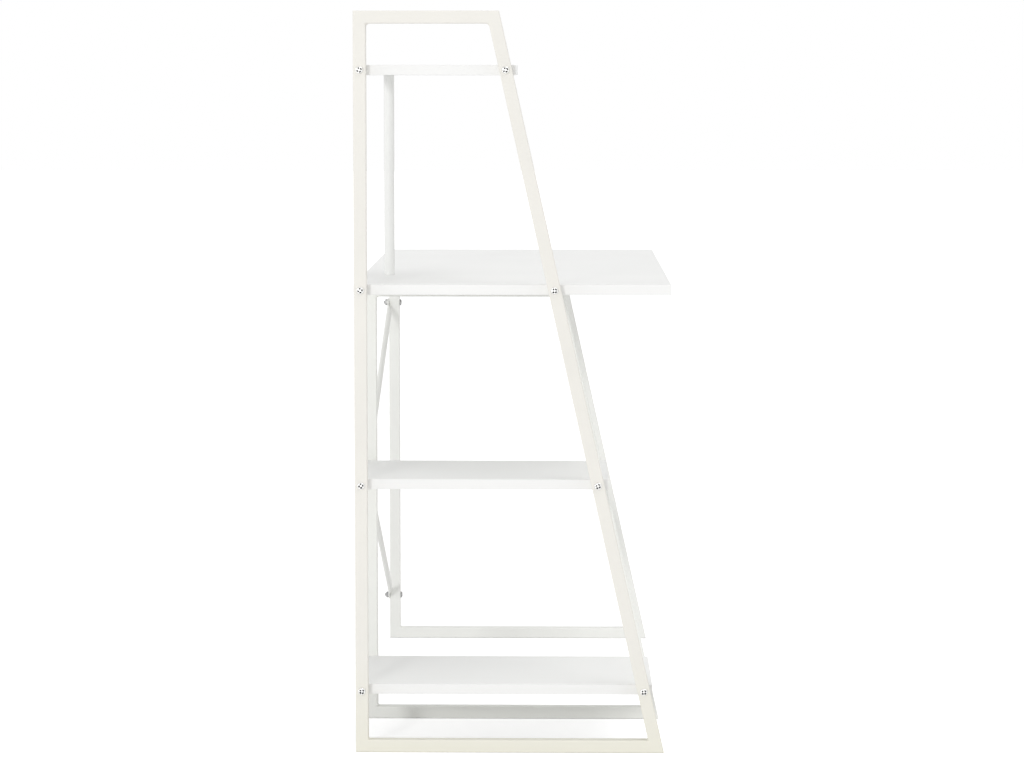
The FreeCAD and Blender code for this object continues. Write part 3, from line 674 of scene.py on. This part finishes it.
# %% [markdown]
# ## Screws
#
# The frames hold the boards with pan-head machine screws that have a cross recess. A head is upset
# from wire in a die, so its top is crowned, its shoulder is round and its rim has a small bevel.
# The recess is punched: four arms whose floors slope steeply down to a small flat in the middle,
# which shines while the arms stay dark; the arms' walls get a near-black painted shade. The thread
# is rolled, and rises from the plain shank over its first turn. The head could be one sculpted
# surface, but a turned form with a punch taken out of it follows the real process and keeps the
# recess's edges crisp.

# %% Rolled thread
AROUND_SCREW = 32
THREAD_ROWS = (0.0, 0.42, 0.58)
# In turns: how far the thread starts above the point, and how far above its last full turn the
# plain core begins.
THREAD_START, THREAD_END = 0.1, 1.1


def thread(bm, low, start, turns, pitch, core, crest):
    """Thread that winds upwards from a plain loop. Returns the plain loop above it."""
    around = len(low)
    per_turn = len(THREAD_ROWS)
    rows = []
    for k in range(per_turn * turns):
        base = k // per_turn + THREAD_ROWS[k % per_turn]
        row = []
        for n in range(around):
            along = base + n / around
            rise = max(0.0, min(1.0, along - 1, turns - along))
            radius = core + (crest - core) * rise * (k % per_turn > 0)
            turn = math.tau * n / around
            row.append((radius * math.cos(turn), radius * math.sin(turn), start + pitch * along))
        rows.append(loop(bm, row))
    high = loop(bm, circle(core, start + pitch * (turns + THREAD_END), around))
    top = len(rows) - 1
    for n in range(around - 1):
        bm.faces.new((low[n], low[n + 1], rows[0][n + 1], rows[0][n]))
        bm.faces.new((rows[top][n], rows[top][n + 1], high[n + 1], high[n]))
        for k in range(top):
            bm.faces.new((rows[k][n], rows[k][n + 1], rows[k + 1][n + 1], rows[k + 1][n]))
    for k in range(top - per_turn):
        bm.faces.new((rows[k][-1], rows[k + per_turn][0], rows[k + per_turn + 1][0],
                      rows[k + 1][-1]))
    bm.faces.new([low[-1], low[0]] + [rows[k][0] for k in range(per_turn + 1)] + [rows[0][-1]])
    bm.faces.new([rows[top][0], high[0], high[-1]]
                 + [rows[top - k][-1] for k in range(per_turn + 1)])
    return high


print("a thread has", len(THREAD_ROWS), "rows of points in a turn")

# %% Punch for the recess
BRIGHT, PAINTED_SHADE = 0, 1
QUARTERS = ((1, 0), (0, 1), (-1, 0), (0, -1))
PUNCH_PAST_TOP = 0.5
MOUTH_REACH, MOUTH_WIDTH = 1.15, 1.05
FLAT_REACH, FLAT_WIDTH = 1.25, 0.85


def cross_punch(top, reach, half_width, depth):
    """Cutter for a cross recess: arms that slope down to a small flat in the middle."""
    def star(level, tip, side):
        corner = [(tip, side), (side, side), (side, tip)]
        return [(x * cos - y * sin, x * sin + y * cos, level)
                for cos, sin in QUARTERS for x, y in corner]

    bm = bmesh.new()
    above = loop(bm, star(top + PUNCH_PAST_TOP, reach * MOUTH_REACH, half_width * MOUTH_WIDTH))
    below = loop(bm, star(top - depth, half_width * FLAT_REACH, half_width * FLAT_WIDTH))
    skin(bm, above, below)
    bm.faces.new(above)
    # The arm walls get the second finish, the near-black painted shade; the flat keeps the zinc.
    for face in bm.faces:
        face.material_index = PAINTED_SHADE
    bm.faces.new(below).material_index = BRIGHT
    return to_mesh(bm, "punch")


print("a recess has", len(QUARTERS), "arms")

# %% Turned screw
LONGEST_THREAD = 28.0
LEAST_PLAIN = 1.5
# In turns: how far above the last full turn the plain shank begins, and the room left for that.
SHANK_START, THREAD_ROOM = 1.3, 1.4
FINEST_POINT = 0.3
SHANK_SHARE = 0.98
NECK = 0.3
HEAD_BEVEL = 0.18
CROWN_SHARE = 0.07
CROWN_POINTS = ((0.6, 0.36), (0.2, 0.0))
SHOULDER_STEPS = 6
RECESS_REACH, RECESS_WIDTH, RECESS_DEPTH = 0.365, 0.127, 0.6


def turned_screw(length, radius, core, pitch, head_width, head_height, point=0.6):
    """Pan-head screw. Its head stands on Z = 0 and its shank points down."""
    bm = bmesh.new()
    turns = int(min(LONGEST_THREAD, length - point - LEAST_PLAIN) / pitch - THREAD_ROOM)
    rim = head_width / 2
    round_top = head_height * 2 / 3
    crown = head_height * CROWN_SHARE
    shank = radius * SHANK_SHARE
    plain = -length + point + pitch * (turns + SHANK_START)
    loops = [loop(bm, circle(max(FINEST_POINT, core - point), -length, AROUND_SCREW)),
             loop(bm, circle(core, -length + point, AROUND_SCREW))]
    bm.faces.new(loops[0])
    skin(bm, *loops)
    last = thread(bm, loops[1], -length + point + THREAD_START * pitch, turns, pitch, core, radius)
    profile = [(shank, plain), (shank, -NECK), (radius, 0), (rim - HEAD_BEVEL, 0),
               (rim, HEAD_BEVEL), (rim, head_height - crown - round_top)]
    for step in range(1, SHOULDER_STEPS + 1):
        turn = math.pi / 2 * step / SHOULDER_STEPS
        profile.append((rim - round_top * (1 - math.cos(turn)),
                        head_height - crown - round_top * (1 - math.sin(turn))))
    profile += [((rim - round_top) * out, head_height - crown * drop)
                for out, drop in CROWN_POINTS]
    for across, level in profile:
        following = loop(bm, circle(across, level, AROUND_SCREW))
        skin(bm, last, following)
        last = following
    bm.faces.new(last)
    screw = to_mesh(bm, "screw")
    return carve(screw, cross_punch(head_height, head_width * RECESS_REACH,
                                    head_width * RECESS_WIDTH, head_height * RECESS_DEPTH))


print("the longest thread is", LONGEST_THREAD, "mm")

# %% [markdown]
# ### Screws in their seats
#
# A fitter turns each screw until it is tight, so no two recesses stand alike. Each seat is read
# from the constructed screw: its head gives the side that it is driven from, and its ends give
# the length. The wood screws under the desktop have a coarse deep thread and a point.

# %% Machine screws and wood screws
def seat(low, high, outward, head_height, turn):
    """Placement of a screw whose head looks outward, with its recess turned by an angle
    anticlockwise, and the screw's length under its head."""
    outward = Vector(outward)
    up = Vector((0, 0, 1)) if abs(outward.z) < 0.5 else Vector((0, 1, 0))
    right = up.cross(outward)
    axis = max(range(3), key=lambda n: abs(outward[n]))
    place = (low + high) / 2
    tip_to_top = high[axis] - low[axis]
    top = high[axis] if outward[axis] > 0 else low[axis]
    place[axis] = top - outward[axis] * head_height * MM
    turned = Matrix.Rotation(math.radians(turn), 3, "Z")
    basis = Matrix((right, up, outward)).transposed() @ turned
    return Matrix.Translation(place) @ basis.to_4x4(), tip_to_top / MM - head_height


BOLT_HEAD_HEIGHT = 3.6
WOOD_HEAD_HEIGHT = 2.7
MACHINE = {"radius": 3.0, "core": 2.5, "pitch": 1.0, "head_width": 12.0,
           "head_height": BOLT_HEAD_HEIGHT}
WOOD = {"radius": 2.25, "core": 1.5, "pitch": 1.8, "head_width": 9.0,
        "head_height": WOOD_HEAD_HEIGHT, "point": 1.2}

# Recess turns in degrees, from the top shelf down and from the post to the leg.
for name, node, outward, size, turns in (
        ("left_bolt_set", "left_frame_bolts", (-1, 0, 0), MACHINE,
         (27, 32, 12, 45, 12, -27, 41, 48)),
        ("middle_bolt_set", "middle_frame_bolts", (1, 0, 0), MACHINE, (8, -36, 19, 40)),
        ("stay_bolt_set", "stay_bolts", (0, -1, 0), MACHINE, (-14, 33, 5)),
        ("rod_lower_bolt", "rod_bottom_screw", (0, 0, -1), MACHINE, (22,)),
        ("rod_upper_bolt", "rod_top_screw", (0, 0, 1), MACHINE, (-31,)),
        ("wood_screw_set", "desktop_screws", (0, 0, -1), WOOD, (3, 38, -21, 16))):
    copies = []
    screw = None
    for (low, high, _), turn in zip(solids_of(node), turns, strict=True):
        placement, length = seat(low, high, outward, size["head_height"], turn)
        screw = screw or turned_screw(length=length, **size)
        copies.append((screw, placement))
    # Stay bolts get the darker zinc, which is painted shade, and every recess gets its near-black
    # painted shade.
    bright = zinc_painted_shade if node == "stay_bolts" else finishes["zinc_hardware"]
    add_piece(name, copies, "zinc_hardware", node, [bright, recess_shade_finish])

# %% [markdown]
# ## Hexagon nuts
#
# The stays are held by plain hexagon nuts. A nut's corners are turned off at thirty degrees on
# both faces, which leaves the curved lines that tell a real nut from a hexagonal block. They
# come by themselves when the chamfer's height follows each point's distance from the axis. The
# hole is countersunk on both sides.

# %% Nuts on the stay bolts
AROUND_NUT = 72
NUT_HEIGHT = 5.0
NUT_ACROSS = 10.0
NUT_BORE = 3.05
NUT_SINK = 0.45
NUT_FACE = 0.965
NUT_CHAMFER = math.radians(30)
NUT_TURNS = (11, 24, 2)


def hexagon_nut():
    """Nut that stands on Z = 0."""
    half = NUT_ACROSS / 2
    turned = half * NUT_FACE
    flat, side = [], []
    for n in range(AROUND_NUT):
        turn = math.tau * n / AROUND_NUT
        from_flat = (turn + math.pi / 6) % (math.pi / 3) - math.pi / 6
        out = half / math.cos(from_flat)
        drop = (out - turned) * math.tan(NUT_CHAMFER)
        side.append((out * math.cos(turn), out * math.sin(turn), drop))
        flat.append((turned * math.cos(turn), turned * math.sin(turn), 0))
    bm = bmesh.new()
    loops = [loop(bm, circle(NUT_BORE, NUT_SINK, AROUND_NUT)),
             loop(bm, circle(NUT_BORE + NUT_SINK, 0, AROUND_NUT)),
             loop(bm, flat), loop(bm, side),
             loop(bm, [(x, y, NUT_HEIGHT - z) for x, y, z in side]),
             loop(bm, [(x, y, NUT_HEIGHT) for x, y, _ in flat]),
             loop(bm, circle(NUT_BORE + NUT_SINK, NUT_HEIGHT, AROUND_NUT)),
             loop(bm, circle(NUT_BORE, NUT_HEIGHT - NUT_SINK, AROUND_NUT))]
    skin_all(bm, loops, closed=True)
    return to_mesh(bm, "nut")


nut = hexagon_nut()
copies = []
on_its_side = Matrix.Rotation(math.radians(-90), 4, "X")
for (low, high, _), turn in zip(solids_of("stay_nuts"), NUT_TURNS, strict=True):
    centre = (low + high) / 2
    lying = on_its_side @ Matrix.Rotation(math.radians(turn), 4, "Z")
    copies.append((nut, Matrix.Translation((centre.x, low.y, centre.z)) @ lying))
# The nuts get the darker zinc, which is painted shade.
add_piece("stay_nut_set", copies, "zinc_hardware", "stay_nuts", [zinc_painted_shade])

# %% [markdown]
# ## Barrel nuts
#
# Each bolt pulls on a short cross dowel that lies in a hole in the board's underside. It is a
# turned barrel with small chamfers, a threaded hole through its waist and a screwdriver slot,
# which lies in line with the thread so that the fitter can aim it. The hole and the slot are cut
# out of a plain barrel, as a drill and a saw cut the real one: drawn face by face, the curve where
# the round hole meets the round barrel would be hard to get right.

# %% Barrel nuts in the boards
BARREL_LENGTH = 11.0
BARREL_RADIUS = 5.0
BARREL_BEVEL = 0.5
BARREL_SLOT = 1.4
AROUND_BARREL, AROUND_BORE = 48, 32


def barrel_nut():
    """Cross dowel about the origin: it stands along Z and its thread runs along X."""
    bm = bmesh.new()
    half = BARREL_LENGTH / 2
    face = BARREL_RADIUS - BARREL_BEVEL
    skin_all(bm, [loop(bm, circle(radius, level, AROUND_BARREL)) for radius, level in
                  ((face, -half), (BARREL_RADIUS, BARREL_BEVEL - half),
                   (BARREL_RADIUS, half - BARREL_BEVEL), (face, half))])
    barrel = to_mesh(bm, "barrel")
    bm = bmesh.new()
    skin_all(bm, [loop(bm, [(level, x, y) for x, y, _ in circle(NUT_BORE, 0, AROUND_BORE)])
                  for level in (-2 * BARREL_RADIUS, 2 * BARREL_RADIUS)])
    barrel = carve(barrel, to_mesh(bm, "drill"))
    bm = bmesh.new()
    slot_half = BARREL_SLOT / 2
    skin_all(bm, [loop(bm, [(x, -slot_half, -2 * half), (x, slot_half, -2 * half),
                            (x, slot_half, BARREL_SLOT - half),
                            (x, -slot_half, BARREL_SLOT - half)])
                  for x in (-2 * BARREL_RADIUS, 2 * BARREL_RADIUS)])
    return carve(barrel, to_mesh(bm, "saw"))


barrel = barrel_nut()
add_piece("barrel_nut_set",
          [(barrel, Matrix.Translation((low + high) / 2)) for low, high, _ in
           solids_of("barrel_nuts")], "zinc_hardware", "barrel_nuts")

# %% [markdown]
# ## Weld beads
#
# The tubes of a frame are mitred and welded, and the outside is ground flush. In the inner
# corners the bead stays: a small hollow fillet with faint ripples, each the edge of one puddle
# of the torch, softened by the powder coat. A bump on a plain fillet would leave its outline
# straight, so the bead is one section that is swept across the tube while its surface swells and
# sinks, and it fades at both ends.

# %% Beads in the inner corners of the frames
RIPPLE_PITCH = 1.7
RIPPLE_HEIGHT = 0.10
BEAD_HOLLOW = 0.42
BEAD_STATIONS = 56
BEAD_ACROSS = 12
BEAD_FADE = 1.6
BEAD_TIP = 0.55
RIPPLE_BEND = 0.4
SAME_CORNER = 0.01


def weld_bead(low, high, points):
    """Bead in the place of a three-sided prism that runs along X, in millimetres."""
    outline = []
    for point in points:
        flat = Vector((point.y, point.z)) / MM
        if all((flat - other).length > SAME_CORNER for other in outline):
            outline.append(flat)
    corner = max(outline, key=lambda p: -sum((p - q).length for q in outline))
    first, second = [p for p in outline if p is not corner]
    middle = (first + second) / 2
    outward = (middle - corner).normalized()
    hollow = middle + (corner - middle) * BEAD_HOLLOW * 2
    start, end = low.x / MM, high.x / MM
    bm = bmesh.new()
    loops = []
    for step in range(BEAD_STATIONS + 1):
        x = start + (end - start) * step / BEAD_STATIONS
        from_end = min(x - start, end - x)
        short = max(0.0, 1 - from_end / BEAD_FADE)
        size = BEAD_TIP + (1 - BEAD_TIP) * math.sqrt(1 - short ** 2)
        section = [(x, *corner)]
        for n in range(BEAD_ACROSS + 1):
            t = n / BEAD_ACROSS
            surface = (1 - t) ** 2 * first + 2 * t * (1 - t) * hollow + t ** 2 * second
            crescent = math.sin(math.pi * t)
            wave = math.sin(math.tau * (x / RIPPLE_PITCH + RIPPLE_BEND * crescent))
            surface = surface + outward * RIPPLE_HEIGHT * wave * crescent
            section.append((x, *(corner + (surface - corner) * size)))
        loops.append(loop(bm, section))
    skin_all(bm, loops)
    return to_mesh(bm, "bead")


for side in ("left", "middle", "right"):
    node = f"{side}_frame_welds"
    add_piece(f"{side}_weld_beads",
              [(weld_bead(*solid), Matrix.Identity(4)) for solid in solids_of(node)],
              "white_paint", node, [paint_of(node)])

# %% [markdown]
# ## The rod
#
# A round steel tube carries the free end of the top shelf. Its ends are cut and faced, which
# leaves a small bevel outside and inside, so a thin line of shade shows where the rod meets the
# boards. A cylinder with flat ends would look painted on.

# %% Rod with faced ends
AROUND_ROD = 96
ROD_WALL = 1.5
ROD_BEVEL = 0.35


def faced_tube(low, high):
    """Upright tube that fills a box, with its ends bevelled."""
    radius = (high.x - low.x) / 2 / MM
    bore = radius - ROD_WALL
    half = (high.z - low.z) / 2 / MM
    bm = bmesh.new()
    profile = [(bore, ROD_BEVEL - half), (bore + ROD_BEVEL, -half), (radius - ROD_BEVEL, -half),
               (radius, ROD_BEVEL - half)]
    profile += [(across, -level) for across, level in reversed(profile)]
    skin_all(bm, [loop(bm, circle(across, level, AROUND_ROD)) for across, level in profile],
             closed=True)
    return to_mesh(bm, "tube")


low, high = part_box("shelf_rod")
add_piece("rod_tube", [(faced_tube(low, high), Matrix.Translation((low + high) / 2))],
          "white_paint", "shelf_rod", [rod_paint])

# %% [markdown]
# ## Rear stays
#
# The two stays are thin round tubes whose ends are pressed flat, punched and trimmed to a half
# circle. The press folds the wall, so the flat's long sides are round and only the trimmed end
# is square. Over about three centimetres the flat swells back to a tube of the same girth. The
# stays share one bolt at the middle frame, where the upper one lies on top of the lower one's
# end and cranks back behind it. A row of sections along the axis makes all of this in one
# piece: each is part way between a flattened ring and a round one.

# %% Ring of a flattened tube
STAY_RADIUS = 5.0
TAB_HALF = 1.2
TAB_HALF_WIDTH = math.pi / 4 * 2 * STAY_RADIUS


def flattened(share):
    """Point of a pressed ring at a share of its girth, from the middle of its back."""
    straight = TAB_HALF_WIDTH - TAB_HALF
    fold = math.pi * TAB_HALF
    girth = 4 * straight + 2 * fold
    along = (share % 1.0) * girth
    if along < straight:
        return TAB_HALF, along
    along -= straight
    if along < fold:
        turn = along / TAB_HALF
        return TAB_HALF * math.cos(turn), straight + TAB_HALF * math.sin(turn)
    along -= fold
    if along < 2 * straight:
        return -TAB_HALF, straight - along
    along -= 2 * straight
    if along < fold:
        turn = along / TAB_HALF
        return -TAB_HALF * math.cos(turn), -straight - TAB_HALF * math.sin(turn)
    return TAB_HALF, along - fold - straight


print("a flat is", round(2 * TAB_HALF_WIDTH, 1), "mm wide and", 2 * TAB_HALF, "mm thick")

# %% Sections from the trimmed end to the tube
AROUND_STAY = 48
TAPER = 30.0
TAPER_STEPS = 14
TRIM_TURNS = range(8, 81, 12)


def stay_section(x, depth, roundness, limit=None):
    """Section across a stay at x: pressed at roundness 0, round at 1, trimmed at a limit."""
    points = []
    for n in range(AROUND_STAY):
        share = n / AROUND_STAY
        y_flat, z_flat = flattened(share)
        y_round = STAY_RADIUS * math.cos(math.tau * share)
        z_round = STAY_RADIUS * math.sin(math.tau * share)
        y = depth + y_flat + (y_round - y_flat) * roundness
        z = z_flat + (z_round - z_flat) * roundness
        if limit is not None:
            z = max(-limit, min(limit, z))
        points.append((x, y, z))
    return points


def end_sections(bolt_x, inward, flat_length, tab_depth, tube_depth):
    """Sections from the trimmed end to the start of the round tube."""
    sections = []
    for degrees in TRIM_TURNS:
        turn = math.radians(degrees)
        sections.append(stay_section(bolt_x - inward * TAB_HALF_WIDTH * math.cos(turn),
                                     tab_depth, 0.0, TAB_HALF_WIDTH * math.sin(turn)))
    sections.append(stay_section(bolt_x, tab_depth, 0.0))
    for step in range(TAPER_STEPS + 1):
        share = step / TAPER_STEPS
        # Half way between a straight cone and a soft S-curve.
        eased = (share + share ** 2 * (3 - 2 * share)) / 2
        sections.append(stay_section(bolt_x + inward * (flat_length + TAPER * share),
                                     tab_depth + (tube_depth - tab_depth) * eased, eased))
    return sections


print("a pressed end swells over", TAPER, "mm in", TAPER_STEPS, "steps")

# %% Pressed stay with its bolt holes
TAB_HOLE = 3.3
SHARED_FLAT, FAR_FLAT = 21.0, 21.0
DRILL_HALF, AROUND_DRILL = 12, 48
SAME_POINT = 0.001


def bolt_drill(x):
    """Cutter for a tab's bolt hole."""
    bm = bmesh.new()
    skin_all(bm, [loop(bm, [(x + a, level, b) for a, b, _ in circle(TAB_HOLE, 0, AROUND_DRILL)])
                  for level in (-DRILL_HALF, DRILL_HALF)])
    return to_mesh(bm, "drill")


def pressed_stay(span, near_layer):
    """Stay along X from its near bolt at the origin. Y = 0 is the posts' rear face."""
    tube_depth = 2 * TAB_HALF - STAY_RADIUS
    near = end_sections(0, 1, SHARED_FLAT, (2 * near_layer + 1) * TAB_HALF, tube_depth)
    far = end_sections(span, -1, FAR_FLAT, TAB_HALF, tube_depth)
    bm = bmesh.new()
    skin_all(bm, [loop(bm, section) for section in near + far[::-1]])
    bmesh.ops.remove_doubles(bm, verts=bm.verts, dist=SAME_POINT * MM)
    stay = to_mesh(bm, "stay")
    for x in (0, span):
        stay = carve(stay, bolt_drill(x))
    return stay


print("a bolt hole is", 2 * TAB_HOLE, "mm wide")

# %% Both stays, from bolt to bolt
upper_far, meeting, lower_far = [(low + high) / 2 for low, high, _ in solids_of("stay_bolts")]
for name, node, far, near_layer in (("stay_to_top", "upper_stay", upper_far, 1),
                                    ("stay_to_foot", "lower_stay", lower_far, 0)):
    span = math.hypot(far.x - meeting.x, far.z - meeting.z)
    rise = math.atan2(far.z - meeting.z, far.x - meeting.x)
    placement = (Matrix.Translation((meeting.x, POST_REAR, meeting.z))
                 @ Matrix.Rotation(-rise, 4, "Y"))
    add_piece(name, [(pressed_stay(span / MM, near_layer), placement)], "white_paint", node,
              [paint_of(node)])
    print(name, round(span / MM, 1), "mm at", round(math.degrees(rise), 1), "degrees")
